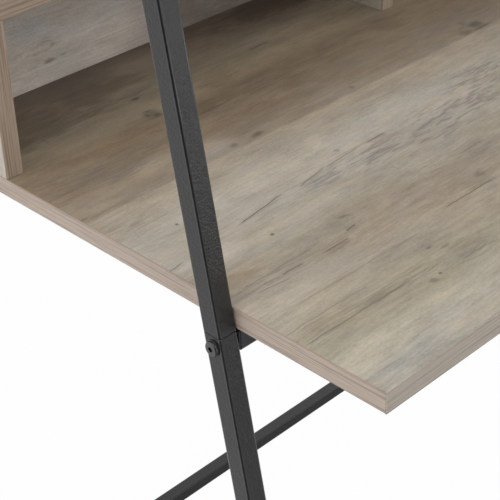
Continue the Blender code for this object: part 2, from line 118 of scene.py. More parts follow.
# Places worked out from the sizes
FRONT_EDGE_Y = -DESKTOP_DEPTH / 2
BACK_EDGE_Y = DESKTOP_DEPTH / 2
DESK_UNDERSIDE = DESK_HEIGHT - BOARD
LEG_X = DESKTOP_LENGTH / 2 + LEG_GAP + TUBE / 2
REAR_LEG_Y = BACK_EDGE_Y - REAR_LEG_INSET - TUBE / 2
SEAM_Z = DESK_UNDERSIDE - SEAM_DROP
RAIL_DROP = GAP + LUG + TUBE / 2
TOP_BAR_Z = TOTAL_HEIGHT - TUBE / 2
SHELF_UNDERSIDE = TOTAL_HEIGHT - TUBE - BOARD
SCREW_X = DESKTOP_LENGTH / 2 - SCREW_INSET
SIDES = {"left": -1, "right": 1}
LEG_WAY = np.array((0, sin(LEAN), cos(LEAN)))
RIGHT, BACK, UP = np.eye(3)


def leg_axis_y(height):
    """Where the middle of a leaning front leg is at a height."""
    at_desktop = FRONT_EDGE_Y + LEG_SETBACK + TUBE / 2 / cos(LEAN)
    return at_desktop + tan(LEAN) * (height - DESK_HEIGHT)


MEMBERS = {
    "front_rail": (leg_axis_y(DESK_UNDERSIDE - RAIL_DROP), DESK_UNDERSIDE - RAIL_DROP),
    "rear_rail": (REAR_LEG_Y, DESK_UNDERSIDE - RAIL_DROP),
    "shelf_front_rail": (leg_axis_y(SHELF_UNDERSIDE - RAIL_DROP), SHELF_UNDERSIDE - RAIL_DROP),
    "shelf_rear_rail": (REAR_LEG_Y, SHELF_UNDERSIDE - RAIL_DROP),
    "stretcher": (REAR_LEG_Y, LOW_BAR_HEIGHT),
}


# Shading sums

class Wire:
    """A socket of a node tree. Arithmetic on it adds Math nodes."""

    def __init__(self, sheet, socket):
        self.sheet, self.socket = sheet, socket

    def sum(self, operation, *others):
        return self.sheet.node("ShaderNodeMath", {"operation": operation}, dict(enumerate((self, *others))))

    def __add__(self, other):
        return self.sum("ADD", other)

    __radd__ = __add__

    def __sub__(self, other):
        return self.sum("SUBTRACT", other)

    def __rsub__(self, other):
        return self.sheet.node("ShaderNodeMath", {"operation": "SUBTRACT"}, {0: other, 1: self})

    def __mul__(self, other):
        return self.sum("MULTIPLY", other)

    __rmul__ = __mul__

    def __truediv__(self, other):
        return self.sum("DIVIDE", other)

    def __rtruediv__(self, other):
        return self.sheet.node("ShaderNodeMath", {"operation": "DIVIDE"}, {0: other, 1: self})

    def __pow__(self, other):
        return self.sum("POWER", other)

    def __abs__(self):
        return self.sum("ABSOLUTE")


class Sheet:
    """The node tree of a material or of the world, emptied."""

    def __init__(self, owner):
        owner.use_nodes = True
        self.tree = owner.node_tree
        self.tree.nodes.clear()

    def node(self, kind, settings=None, sockets=None, output=0):
        """Adds a node: its settings first, a ramp's stops among them, then its sockets' values or links."""
        node = self.tree.nodes.new(kind)
        for name, value in (settings or {}).items():
            if name == "stops":
                ramp = node.color_ramp
                while len(ramp.elements) < len(value):
                    ramp.elements.new(1.0)
                for element, (position, colour) in zip(ramp.elements, value):
                    element.position, element.color = position, (*colour, 1.0)
            else:
                setattr(node, name, value)
        for key, value in (sockets or {}).items():
            socket = node.inputs[key]
            if isinstance(value, Wire):
                self.tree.links.new(value.socket, socket)
            elif socket.type == "RGBA":
                socket.default_value = (*value, 1.0)
            else:
                socket.default_value = value
        return Wire(self, node.outputs[output]) if node.outputs else node

    def place(self):
        """The three object coordinates, in millimetres."""
        point = self.node("ShaderNodeTexCoord", output="Object")
        split = self.node("ShaderNodeSeparateXYZ", sockets={0: point})
        outputs = split.socket.node.outputs
        return [Wire(self, outputs[axis]) * MM for axis in "XYZ"]

    def smooth(self, value, low, high, top=1.0):
        """0 below low, top above high, with an S between them; low may be the greater."""
        return self.node("ShaderNodeMapRange", {"interpolation_type": "SMOOTHSTEP"},
                         {"Value": value, "From Min": low, "From Max": high, "To Max": top})

    def noise(self, along, across, length, width, seed, detail=2.0, roughness=0.5):
        """Cloudy noise from 0 to 1, whose clouds are a length by a width."""
        point = self.node("ShaderNodeCombineXYZ", sockets={0: along / length, 1: across / width, 2: seed})
        sockets = {"Vector": point, "Scale": 1.0, "Detail": detail, "Roughness": roughness}
        return self.node("ShaderNodeTexNoise", {"noise_dimensions": "3D"}, sockets, "Fac")

    def speckle(self, scale, detail):
        """Noise from 0 to 1 that is alike in all directions, at a scale in clouds per metre."""
        point = self.node("ShaderNodeTexCoord", output="Object")
        return self.node("ShaderNodeTexNoise", {}, {"Vector": point, "Scale": scale, "Detail": detail}, "Fac")

    def mix(self, mask, first, second):
        """A colour that goes from the first to the second with the mask."""
        return self.node("ShaderNodeMix", {"data_type": "RGBA"}, {0: mask, 6: first, 7: second}, 2)

    def tinted(self, mask, colour, tint):
        """A colour multiplied by a tint where the mask is 1."""
        settings = {"data_type": "RGBA", "blend_type": "MULTIPLY"}
        return self.node("ShaderNodeMix", settings, {0: mask, 6: colour, 7: tint}, 2)

    def times(self, colour, value):
        """A colour made lighter or darker by a factor."""
        return self.node("ShaderNodeVectorMath", {"operation": "SCALE"}, {0: colour, "Scale": value})

    def finish(self, **sockets):
        """The Principled shader with these sockets, as the material's surface."""
        names = {key.replace("_", " ").title(): value for key, value in sockets.items()}
        shader = self.node("ShaderNodeBsdfPrincipled", sockets=names)
        self.node("ShaderNodeOutputMaterial", sockets={"Surface": shader})

    def bump(self, height, depth):
        """A normal from a height of 0 to 1 that stands for a depth in millimetres."""
        return self.node("ShaderNodeBump", sockets={"Height": height, "Distance": depth / MM, "Strength": 1.0})


def material(name):
    """A new material and its empty sheet."""
    result = bpy.data.materials.new(name)
    return result, Sheet(result)


def weighted(layers, shares):
    """The sum of the layers that have a share, each times its share."""
    parts = [layers[name] * share for name, share in shares.items()]
    return sum(parts[1:], parts[0])


# The grey-wash print of the boards

# Tones across the planks: millimetres across, then colour; two stops close together make a sharp border
# The desktop's last stops, from 250 mm across on, are darker than the print: painted shade under the hutch
DESKTOP_TONES = (
    (-318, (0.385, 0.353, 0.297)), (-278, (0.412, 0.370, 0.290)), (-250, (0.345, 0.306, 0.226)),
    (-172, (0.372, 0.324, 0.258)), (-118, (0.346, 0.303, 0.237)), (-90, (0.375, 0.338, 0.278)),
    (-42, (0.440, 0.397, 0.328)), (-8, (0.426, 0.383, 0.312)), (8, (0.402, 0.353, 0.284)),
    (38.8, (0.386, 0.337, 0.269)), (40.2, (0.296, 0.250, 0.194)), (70, (0.270, 0.220, 0.165)),
    (140, (0.270, 0.208, 0.141)), (182, (0.310, 0.255, 0.180)), (206, (0.322, 0.272, 0.198)),
    (250, (0.250, 0.202, 0.150)), (285, (0.190, 0.146, 0.110)), (318, (0.185, 0.142, 0.107)),
)
# Painted light: the back board's tones are lighter than the uprights', making up for the shade inside the hutch
BACK_TONES_PAINTED_LIGHTER = (
    (740, (0.490, 0.450, 0.405)), (805, (0.485, 0.448, 0.402)), (812, (0.450, 0.415, 0.375)),
    (880, (0.450, 0.412, 0.368)), (940, (0.465, 0.425, 0.380)),
)
SIDE_TONES = (
    (740, (0.425, 0.388, 0.340)), (812, (0.415, 0.382, 0.337)), (815, (0.395, 0.365, 0.327)),
    (880, (0.385, 0.355, 0.315)), (940, (0.400, 0.367, 0.323)),
)
WARM_TINT = (1.015, 0.99, 0.965)
COOL_TINT = (0.99, 1.0, 1.03)
BROWN_TINT = (0.990, 0.925, 0.868)
BLUE_TINT = (0.94, 0.975, 1.035)
LIGHT_TINT = (1.40, 1.40, 1.40)
# Painted shade: the tint of the dark zones
PAINTED_SHADE_TINT = (0.50, 0.46, 0.43)
STREAK_TINT = (0.76, 0.74, 0.72)
HATCH_GREY = (0.135, 0.122, 0.112)
CRACK_DARK = (0.095, 0.082, 0.070)
KNOT_DARK = (0.095, 0.086, 0.074)
ZONE_CORE = 0.35
KNOT_CORE = 0.2
KNOT_SHARE = 0.88
HATCH_SHARE = 0.5
CRACK_CORE = 0.2
CRACK_TAPER = 0.6
CRACK_SHARE = 0.75
STAIN_SHARE = 0.14
STAIN_SPREAD = 6.0
REPEAT = 640.0
REPEAT_START = -557.5

# Noises of the print: length and width of a cloud in millimetres, seed, and detail and roughness if not the usual ones
NOISES = {
    "waver": (150.0, 60.0, 3.1),
    "ripple": (42.0, 16.0, 12.5),
    "hue": (80.0, 22.0, 19.4),
    "cloud": (80.0, 34.0, 11.3, 3.0),
    "blotch": (32.0, 10.0, 5.7, 3.0, 0.55),
    "streak": (110.0, 4.0, 8.9, 3.0, 0.6),
    "fibre": (20.0, 2.0, 2.3, 2.0, 0.6),
    "pore": (3.6, 1.5, 7.2, 2.0, 0.6),
    "line": (75.0, 1.9, 15.8, 2.0, 0.6),
    "dash": (26.0, 2.8, 6.6, 2.0, 0.6),
    "shiver": (30.0, 40.0, 9.4, 3.0),
    "band_waver": (70.0, 30.0, 23.0),
    "band_broad": (140.0, 6.0, 21.0),
    "band_line": (120.0, 1.5, 17.0, 2.0, 0.6),
    "band_fibre": (14.0, 0.8, 19.0, 2.0),
}
LAYERS = ("cloud", "blotch", "streak", "fibre", "pore")
# How far noises push the grain, the planks' borders and the cracks aside, in millimetres
FLOW_WAVER = 14.0
FLOW_RIPPLE = 4.0
BORDER_PUSH = 2.0
SHIVER_PUSH = 5.0
# Where noises turn to masks, from 0 to 1
HUE_TURN = (0.34, 0.66)
LINE_TURN = (0.52, 0.68)
DASH_TURN = (0.48, 0.58)
# Shares of the layers in what they make up
TONE_SHARES = {"cloud": 0.42, "blotch": 0.50, "streak": 0.38, "fibre": 0.42, "pore": 0.46}
RAGGED_SHARES = {"blotch": 1.1, "fibre": 0.9}
BROKEN_SHARES = {"blotch": 0.5, "fibre": 0.4}
ROUGHNESS_SHARES = {"fibre": 0.14, "streak": 0.12, "cracks": 0.15}
RELIEF_SHARES = {"pore": 0.4, "fibre": 0.4, "streak": 0.4, "cracks": -0.6, "hatch": -0.3}
SOFTLY_RAGGED = 0.6
DASH_STREAK = 0.2
PRINT_ROUGHNESS = 0.46
PRINT_DEPTH = 0.10
# Where the face that gets the dark zones' painted shade starts, from its normal
SHADE_FACE_TURN = (0.5, 0.9)
EDGE_TURN = (0.8, 0.6)

# Edge banding
BAND_LIGHT = (0.405, 0.332, 0.276)
BAND_DARK = (0.255, 0.190, 0.146)
BAND_ARRIS = (0.330, 0.245, 0.185)
BAND_HALF = BOARD * MM / 2
BAND_PUSH = 1.4
BAND_LINE_TURN = (0.48, 0.62)
BAND_LINE_SHARE = 0.85
BAND_TONE_SHARES = {"broad": 0.18, "fibre": 0.4}
BAND_RELIEF_SHARES = {"fibre": 0.4, "lines": -0.5}
BAND_ARRIS_TURN = (BAND_HALF - 1.0, BAND_HALF - 0.2)
BAND_ARRIS_SHARE = 0.5
BAND_ROUGHNESS = 0.48
BAND_ROUGHNESS_SHARE = 0.15
BAND_DEPTH = 0.08
PLAIN = (1.0, 1.0, 1.0)
GREYER = (0.98, 1.05, 1.06)
BROWNER = (0.80, 0.76, 0.71)

# Zones of the desktop's print: middle along and across, half length, half width, in millimetres, then strength
DESKTOP_BROWN = (
    (-535, -124, 60, 14, 0.8), (-330, -150, 150, 44, 0.6), (-200, 26, 170, 16, 0.5), (-440, 136, 90, 20, 0.6),
    (-290, 92, 150, 20, 0.5), (-290, -205, 90, 30, 0.5), (-120, 60, 90, 14, 0.5), (-90, 196, 90, 34, 0.5),
)
DESKTOP_BLUE = (
    (-500, -300, 62, 13, 1.0), (-440, -283, 34, 7, 0.7), (-505, 107, 30, 10, 0.9), (-465, 88, 60, 13, 1.0),
    (-384, 50, 40, 15, 1.0), (-380, 6, 18, 8, 0.6), (-20, 86, 60, 22, 0.5), (-350, -66, 38, 13, 0.6),
    (-285, -66, 48, 22, 0.3), (-190, -66, 70, 22, 0.3), (-500, -140, 50, 8, 0.5), (-505, -108, 34, 6, 0.6),
    (-244, -163, 14, 9, 0.8), (-366, -220, 10, 5, 0.7), (-470, -30, 60, 20, 0.3), (-220, -18, 170, 22, 0.6),
    (28, 54, 24, 16, 1.0), (-510, -88, 42, 22, 0.6),
)
DESKTOP_HATCHED = (
    (-285, -64, 60, 26, 0.9), (-350, -64, 40, 12, 0.7), (-150, -68, 130, 34, 1.0), (-70, -40, 80, 36, 0.9),
    (-355, -247, 32, 8, 1.0), (-415, -247, 8, 6, 0.7), (-500, -140, 50, 8, 0.6), (-425, -150, 24, 5, 0.9),
    (-520, 10, 40, 9, 0.6), (-495, 104, 34, 14, 0.8), (-460, 84, 36, 10, 0.8), (-530, 46, 32, 5, 0.8),
    (-440, -232, 70, 5, 0.7),
)
DESKTOP_LIGHT = (
    (-330, -14, 260, 22, 0.22), (-510, -88, 42, 22, 0.6), (-250, 168, 330, 22, 0.45), (-520, 66, 80, 24, 0.4),
    (-440, 76, 50, 24, 0.7), (-395, 58, 60, 30, 1.0), (-545, -172, 120, 60, 0.35), (-480, -268, 120, 12, 0.3),
    (-200, 58, 200, 16, 0.25), (-440, -95, 90, 14, 0.15), (-130, 210, 150, 18, 0.3), (-550, -84, 60, 16, 0.3),
    (-290, 264, 60, 30, 0.5),
)
# Mostly painted shade, the shadows of the hutch and its divider on the desktop, with a few darker patches of print
# among them
DESKTOP_SHADE_AND_DARK_PRINT = (
    (-60, 274, 150, 42, 0.8), (-330, 296, 260, 30, 0.3), (-250, 136, 110, 22, 0.2), (-530, -128, 40, 12, 0.3),
    (-350, -232, 60, 16, 0.2), (-500, 240, 130, 50, 0.8), (-420, 280, 120, 40, 0.6), (-290, 76, 120, 24, 0.2),
    (-240, -150, 110, 46, 0.3), (-250, -162, 30, 14, 0.3), (-80, 150, 120, 40, 0.2), (-525, 138, 60, 30, 0.3),
    (-490, 211, 170, 23, 0.75), (-520, 208, 60, 24, 0.95), (-385, 243, 80, 28, 0.7), (-490, 108, 110, 36, 0.25),
    (-330, 133, 36, 20, 0.45), (-268, 167, 38, 20, 0.35), (-208, 100, 38, 20, 0.3), (-30, 131, 42, 22, 0.35),
)
DESKTOP_STREAKED = (
    (-480, -224, 130, 14, 0.9), (-480, -146, 90, 14, 1.0), (-450, -190, 130, 9, 0.5), (-520, 8, 70, 16, 0.8),
    (-480, 96, 80, 26, 0.8), (-300, -196, 100, 16, 0.4), (-230, 62, 220, 26, 0.5), (-300, 130, 230, 40, 0.6),
    (-320, -60, 140, 30, 0.6), (-250, 20, 200, 14, 0.4), (-300, 210, 250, 26, 0.5),
)
# Knots and specks, given like the zones
DESKTOP_KNOTS = (
    (-371, 159, 17, 15, 0.6), (-377, 160, 5, 8, 0.85), (-369, 154, 10, 5.5, 1.0), (-371, 167, 9, 3.5, 0.75),
    (-360, 200, 8, 4, 1.0), (-455, -97, 3.6, 2.8, 1.0), (-403, -244, 2.8, 2.2, 0.9), (32, 51, 16, 13, 0.7),
    (24, 66, 8, 9, 0.4), (6, 45, 16, 7, 0.55), (30, 42, 24, 3.5, 0.8), (-40, 143, 26, 6, 0.5),
    (-330, 48, 14, 5, 0.8), (-362, 48, 8, 6, 0.6), (-187, 48, 5, 6, 0.5), (-302, -35, 6, 4, 0.5),
    (-245, -166, 10, 6, 0.5), (-378, -211, 5, 2.2, 0.6), (-366, -220, 8, 3.5, 0.4), (-501, -22, 2.8, 2.4, 0.9),
    (-415, -247, 6, 5, 0.5), (-553, 46, 8, 2.4, 0.5), (-390, -121, 6, 2.4, 0.3),
)
# Cracks: both ends along and across, half width, in millimetres, then strength
DESKTOP_CRACKS = (
    (-470, -65.0, -388, -52.0, 0.9, 1.0), (-383, -58.0, -330, -46.5, 0.8, 0.8),
    (-338, -49.5, -276, -46.0, 0.9, 0.7), (-273, -45.2, -240, -44.4, 1.2, 0.8),
    (-324, -180.0, -234, -180.0, 0.8, 1.0), (-572, -231.0, -420, -232.5, 0.9, 0.7),
    (-500, -231.0, -430, -233.0, 1.6, 0.5), (-575, -211.0, -440, -211.0, 0.8, 0.5),
    (-545, -214.5, -512, -215.0, 0.8, 0.5), (-545, -140.0, -440, -138.0, 0.9, 0.4),
    (-532, -152.0, -492, -157.0, 0.8, 0.6), (-498, -148.5, -468, -150.0, 1.2, 0.7),
    (-446, -151.0, -408, -149.5, 1.4, 0.7), (-567, -75.0, -536, -71.0, 1.0, 0.7),
    (-196, 197.5, -158, 198.5, 1.8, 0.6), (-407, -140.4, -392, -139.6, 1.3, 0.9),
    (-540, -187.0, -330, -190.0, 1.2, 0.3), (-398, -119.0, -382, -124.0, 1.6, 0.35),
    (-230, -128.0, -185, -126.0, 1.4, 0.4),
)
DESKTOP_PRINT = {
    "tones": DESKTOP_TONES, "brown": DESKTOP_BROWN, "blue": DESKTOP_BLUE, "light": DESKTOP_LIGHT,
    "dark": DESKTOP_SHADE_AND_DARK_PRINT, "streaked": DESKTOP_STREAKED, "hatched": DESKTOP_HATCHED, "cracks": DESKTOP_CRACKS,
    "knots": DESKTOP_KNOTS,
}
BACK_PRINT = {
    "tones": BACK_TONES_PAINTED_LIGHTER,
    "brown": ((-300, 800, 90, 16, 0.5), (-180, 860, 120, 14, 0.5), (-120, 790, 80, 12, 0.4), (-250, 905, 120, 12, 0.5)),
    "blue": ((-416, 829, 34, 20, 0.9), (-480, 800, 40, 14, 0.6), (-350, 878, 70, 14, 0.5), (-460, 850, 40, 12, 0.5)),
    "light": ((-318, 795, 75, 44, 0.45), (-420, 862, 60, 16, 0.3)),
    # Painted shade: the divider's shadow on the back board
    "dark": ((-80, 800, 160, 200, 0.8), (-178, 800, 72, 200, 0.85)),
    "streaked": ((-450, 850, 120, 20, 0.7), (-300, 790, 120, 12, 0.4), (-200, 870, 150, 20, 0.5)),
    "hatched": ((-400, 806, 40, 14, 0.6), (-300, 846, 60, 10, 0.4)),
    "cracks": ((-520, 815.0, -470, 817.0, 1.4, 0.5), (-330, 872.0, -270, 873.0, 1.6, 0.4)),
    "knots": ((-395, 787, 11, 4, 0.65), (-388, 805, 6, 3, 0.4), (-376, 789, 6, 2, 0.4)),
}
# The uprights take the back board's zones, its painted shade among them, with paler tones
SIDE_PRINT = {**BACK_PRINT, "tones": SIDE_TONES}


def zone(sheet, point, ragged, row, core=ZONE_CORE):
    """A soft ellipse: its strength up to a core, 0 past its rim, both pushed in and out by the ragged noise."""
    along, across, length, width, strength = row
    sockets = {0: point, 1: (1 / length, 1 / width, 0), 2: (-along / length, -across / width, 0)}
    inside = sheet.node("ShaderNodeVectorMath", {"operation": "MULTIPLY_ADD"}, sockets)
    reach = sheet.node("ShaderNodeVectorMath", {"operation": "LENGTH"}, {0: inside}, "Value")
    return sheet.smooth(reach + ragged, 1.0, core, strength)


def crack(sheet, point, along, broken, row):
    """A thin line between two points that thins out at its ends, and the wider stain beside it."""
    start_u, start_v, end_u, end_v, width, strength = row
    slope = (end_v - start_v) / (end_u - start_u)
    middle, half = (start_u + end_u) / 2, abs(end_u - start_u) / 2
    height = sheet.node("ShaderNodeVectorMath", {"operation": "DOT_PRODUCT"}, {0: point, 1: (-slope, 1, 0)}, "Value")
    off = abs(height + (start_u * slope - start_v))
    taper = sheet.smooth(abs(along - middle) + broken * half, half, half * CRACK_TAPER, strength)
    line = sheet.smooth(off, width, width * CRACK_CORE) * taper
    stain = sheet.smooth(off, width * STAIN_SPREAD, 0.0) * taper
    return line * CRACK_SHARE + stain * STAIN_SHARE


def greatest(masks):
    """The greatest of some masks at each place."""
    result = masks[0]
    for mask in masks[1:]:
        result = result.sum("MAXIMUM", mask)
    return result


def plank_tone(sheet, across, tones):
    """The tone at a place across the planks, which starts over past the last stop."""
    first, last = tones[0][0], tones[-1][0]
    place = ((across - first) / (last - first)).sum("FRACT")
    stops = [((at - first) / (last - first), colour) for at, colour in tones]
    return sheet.node("ShaderNodeValToRGB", {"stops": stops}, {0: place})


def swing(sheet, along, across, name):
    """A noise of the print, from -0.5 to 0.5."""
    return sheet.noise(along, across, *NOISES[name]) - 0.5


def grain_print(sheet, along, across, marks, shade_face):
    """Colour, roughness and relief of the print, from the millimetres along and across the grain.

    A curve of tones gives the planks. Stretched noises make them warmer and cooler, cloudy, streaked and grained.
    Marked zones are browner, bluer, lighter or darker, or get fine lines or short dark hatching.
    Cracks and knots lie on top. The darker zones are mostly painted shade, with some darker print among them, and lie
    on one face of the board only, where the face mask is 1.
    """
    waver, ripple = swing(sheet, along, across, "waver"), swing(sheet, along, across, "ripple")
    flow = across + waver * FLOW_WAVER + ripple * FLOW_RIPPLE
    layers = {name: swing(sheet, along, flow, name) for name in LAYERS}
    ragged = weighted(layers, RAGGED_SHARES)
    streak = layers["streak"]

    colour = plank_tone(sheet, across + waver * BORDER_PUSH + streak * BORDER_PUSH, marks["tones"])
    coolness = sheet.smooth(sheet.noise(along, flow, *NOISES["hue"]), *HUE_TURN)
    colour = sheet.tinted(1.0, colour, sheet.mix(coolness, WARM_TINT, COOL_TINT))

    spot = (along - REPEAT_START).sum("PINGPONG", REPEAT) + REPEAT_START
    point = sheet.node("ShaderNodeCombineXYZ", sockets={0: spot, 1: flow})
    soft = ragged * SOFTLY_RAGGED
    # Dark zones are mostly painted shade, with some darker print among them; the face mask keeps them to one face
    for kind, tint in (("brown", BROWN_TINT), ("blue", BLUE_TINT), ("light", LIGHT_TINT), ("dark", PAINTED_SHADE_TINT)):
        mask = greatest([zone(sheet, point, soft, row) for row in marks[kind]])
        mask = mask * shade_face if kind == "dark" else mask
        colour = sheet.tinted(mask, colour, tint)
    hatched = greatest([zone(sheet, point, ragged, row) for row in marks["hatched"]])
    streaked = greatest([zone(sheet, point, ragged, row) for row in marks["streaked"]])
    lines = streaked * sheet.smooth(sheet.noise(along, flow, *NOISES["line"]), *LINE_TURN)
    colour = sheet.tinted(lines, colour, STREAK_TINT)
    colour = sheet.times(colour, 1.0 + weighted(layers, TONE_SHARES))

    dash = sheet.noise(along, across + ripple * FLOW_RIPPLE, *NOISES["dash"]) + streak * DASH_STREAK
    layers["hatch"] = hatched * sheet.smooth(dash, *DASH_TURN)
    colour = sheet.mix(layers["hatch"] * HATCH_SHARE, colour, HATCH_GREY)

    shiver = swing(sheet, along, across, "shiver") * SHIVER_PUSH
    bare = sheet.node("ShaderNodeCombineXYZ", sockets={0: spot, 1: across + shiver})
    broken = weighted(layers, BROKEN_SHARES)
    layers["cracks"] = greatest([crack(sheet, bare, spot, broken, row) for row in marks["cracks"]])
    colour = sheet.mix(layers["cracks"], colour, CRACK_DARK)
    knots = greatest([zone(sheet, bare, soft, row, KNOT_CORE) for row in marks["knots"]])
    colour = sheet.mix(knots * KNOT_SHARE, colour, KNOT_DARK)
    return colour, PRINT_ROUGHNESS + weighted(layers, ROUGHNESS_SHARES), weighted(layers, RELIEF_SHARES)


def band_print(sheet, along, across, middle, tint):
    """Colour, roughness and relief of the banding: fine dark lines along the edge, a brown line at each arris."""
    level = across + sheet.noise(along, across, *NOISES["band_waver"]) * BAND_PUSH
    lines = sheet.smooth(sheet.noise(along, level, *NOISES["band_line"]), *BAND_LINE_TURN)
    fibre = swing(sheet, along, level, "band_fibre")
    layers = {"broad": swing(sheet, along, level, "band_broad"), "lines": lines, "fibre": fibre}
    light, dark = np.array(BAND_LIGHT) * tint, np.array(BAND_DARK) * tint
    colour = sheet.times(sheet.mix(lines * BAND_LINE_SHARE, light, dark), 1.0 + weighted(layers, BAND_TONE_SHARES))
    arris = sheet.smooth(abs(across - middle) + fibre, *BAND_ARRIS_TURN)
    colour = sheet.mix(arris * BAND_ARRIS_SHARE, colour, BAND_ARRIS)
    return colour, BAND_ROUGHNESS + fibre * BAND_ROUGHNESS_SHARE, weighted(layers, BAND_RELIEF_SHARES)


def board_finish(name, along_axis, across_axis, shift, edge_axis, edge_middle, marks, show=1):
    """Print on a board's faces, and band streaks on its bare edges, whose normals lie across the edge axis."""
    result, sheet = material(name)
    place = sheet.place()
    normal = sheet.node("ShaderNodeNewGeometry", output="Normal")
    split = sheet.node("ShaderNodeSeparateXYZ", sockets={0: normal}).socket.node.outputs
    thick = Wire(sheet, split["XYZ"[edge_axis]])
    # The face that gets the dark zones' painted shade: its normal points along the edge axis, times show
    shade_face = sheet.smooth(thick * show, *SHADE_FACE_TURN)
    face = grain_print(sheet, place[along_axis] + shift[0], place[across_axis] + shift[1], marks, shade_face)
    edge = band_print(sheet, place[along_axis], place[edge_axis], edge_middle, PLAIN)
    on_edge = sheet.smooth(abs(thick), *EDGE_TURN)
    on_face = 1.0 - on_edge
    sheet.finish(base_color=sheet.mix(on_edge, face[0], edge[0]), roughness=face[1] * on_face + edge[1] * on_edge,
                 normal=sheet.bump(face[2] * on_face + edge[2] * on_edge, PRINT_DEPTH))
    return result


def band_finish(name, along_axis, across_axis, middle, tint):
    """The banding of one edge, its colours times a tint."""
    result, sheet = material(name)
    place = sheet.place()
    colour, roughness, relief = band_print(sheet, place[along_axis], place[across_axis], middle, tint)
    sheet.finish(base_color=colour, roughness=roughness, normal=sheet.bump(relief, BAND_DEPTH))
    return result


# The other finishes: colours, scale and detail of their noises, shares of those, and depths in millimetres
COAT_COLOUR = (0.0165, 0.0165, 0.017)
PEBBLE = (420.0, 2.0)
COAT_CLOUD = (60.0, 3.0)
COAT_TONE = 0.35
COAT_TONE_SHARES = {"pebble": 1.2, "cloud": 0.1}
# Painted shade: how much darker the coat's colour is on the tubes' corners, for the dark reflection along them
CORNER_PAINTED_SHADE = 0.7
COAT_ROUGHNESS = 0.22
COAT_ROUGHNESS_SHARES = {"pebble": 0.14, "cloud": 0.06, "corner": 0.06}
CORNER_COAT_ROUGHNESS = 0.10
PEBBLE_DEPTH = 0.42

BOLT_COLOUR, BOLT_ROUGHNESS = (0.135, 0.135, 0.138), 0.36
ZINC_COLOUR, ZINC_ROUGHNESS = (0.62, 0.62, 0.60), 0.32
GRIT = (1500.0, 2.0)
STAIN = (220.0, 3.0)
STEEL_TONE = 0.8
STEEL_TONE_SHARES = {"grit": 0.2, "stain": 0.2}
STEEL_SMOOTHER = 0.08
STEEL_ROUGHNESS_SHARES = {"grit": 0.1, "stain": 0.1}
GRIT_DEPTH = 0.02

PLASTIC_COLOUR = (0.018, 0.018, 0.018)
PLASTIC_GRAIN = (1400.0, 3.0)
PLASTIC_TONE, PLASTIC_TONE_SHARE = 0.8, 0.4
PLASTIC_ROUGHNESS, PLASTIC_ROUGHNESS_SHARE = 0.42, 0.16
PLASTIC_DEPTH = 0.05


def powder_coat():
    """Charcoal powder coat: a pebbled skin, a little mottled; along the tubes' corners a painted dark line stands in
    for the dark reflection there, under a smooth coat.
    """
    result, sheet = material("powder_coat")
    corner = sheet.node("ShaderNodeAttribute", {"attribute_name": "corner"}, output="Fac")
    layers = {"pebble": sheet.speckle(*PEBBLE), "cloud": sheet.speckle(*COAT_CLOUD), "corner": corner}
    tone = (COAT_TONE + weighted(layers, COAT_TONE_SHARES)) * (1.0 - corner * CORNER_PAINTED_SHADE)
    sheet.finish(base_color=sheet.times(COAT_COLOUR, tone),
                 roughness=COAT_ROUGHNESS + weighted(layers, COAT_ROUGHNESS_SHARES),
                 normal=sheet.bump(layers["pebble"], PEBBLE_DEPTH),
                 coat_weight=corner, coat_roughness=CORNER_COAT_ROUGHNESS)
    return result


def plated_steel(name, colour, roughness):
    """Plated or blackened steel: fine grit and soft stains in its colour and gloss."""
    result, sheet = material(name)
    layers = {"grit": sheet.speckle(*GRIT), "stain": sheet.speckle(*STAIN)}
    sheet.finish(base_color=sheet.times(colour, STEEL_TONE + weighted(layers, STEEL_TONE_SHARES)), metallic=1.0,
                 roughness=roughness - STEEL_SMOOTHER + weighted(layers, STEEL_ROUGHNESS_SHARES),
                 normal=sheet.bump(layers["grit"], GRIT_DEPTH))
    return result


def moulded_plastic():
    """Black plastic with a fine spark-eroded grain."""
    result, sheet = material("moulded_plastic")
    grain = sheet.speckle(*PLASTIC_GRAIN)
    sheet.finish(base_color=sheet.times(PLASTIC_COLOUR, PLASTIC_TONE + grain * PLASTIC_TONE_SHARE),
                 roughness=PLASTIC_ROUGHNESS + grain * PLASTIC_ROUGHNESS_SHARE, normal=sheet.bump(grain, PLASTIC_DEPTH))
    return result


FINISHES = {
    "powder_coat": powder_coat(),
    "bolt_steel": plated_steel("blackened_steel", BOLT_COLOUR, BOLT_ROUGHNESS),
    "zinc": plated_steel("zinc_plate", ZINC_COLOUR, ZINC_ROUGHNESS),
    "black_plastic": moulded_plastic(),
}


# Surfaces

def rounded_ring(width, depth, corner):
    """Ring of a rectangle: at each corner a quarter circle, between two points a hair out on its flats."""
    turn = np.linspace(0, pi / 2, CORNER_STEPS + 1)
    arc = corner * np.column_stack((np.cos(turn), np.sin(turn)))
    quarter = np.vstack(((corner, -HOLD), arc, (-HOLD, corner)))
    reach = np.array((width / 2 - corner, depth / 2 - corner))
    right_back = quarter + reach
    left_back = (quarter * (1, -1) + reach * (1, -1))[::-1] * (-1, -1)
    half = np.vstack((right_back, left_back))
    return np.vstack((half, -half))


def corner_weights():
    """1 at the ring points that lie on a corner's arc, 0 at those on the flats."""
    quarter = np.ones(CORNER_STEPS + 3)
    quarter[[0, -1]] = 0
    return np.tile(quarter, 4)


def skin(rings, loop=False):
    """Points and faces of rings joined in turn: a loop joins the last to the first, else a lid closes each end."""
    rows, columns = rings.shape[:2]
    row = np.arange(rows if loop else rows - 1)[:, None]
    column = np.arange(columns)[None, :]
    after, beside = (row + 1) % rows, (column + 1) % columns
    corners = (row * columns + column, row * columns + beside, after * columns + beside, after * columns + column)
    faces = np.stack(corners, -1).reshape(-1, 4).tolist()
    if not loop:
        lid = np.arange(columns)
        faces += [lid[::-1].tolist(), (lid + (rows - 1) * columns).tolist()]
    return rings.reshape(-1, 3), faces


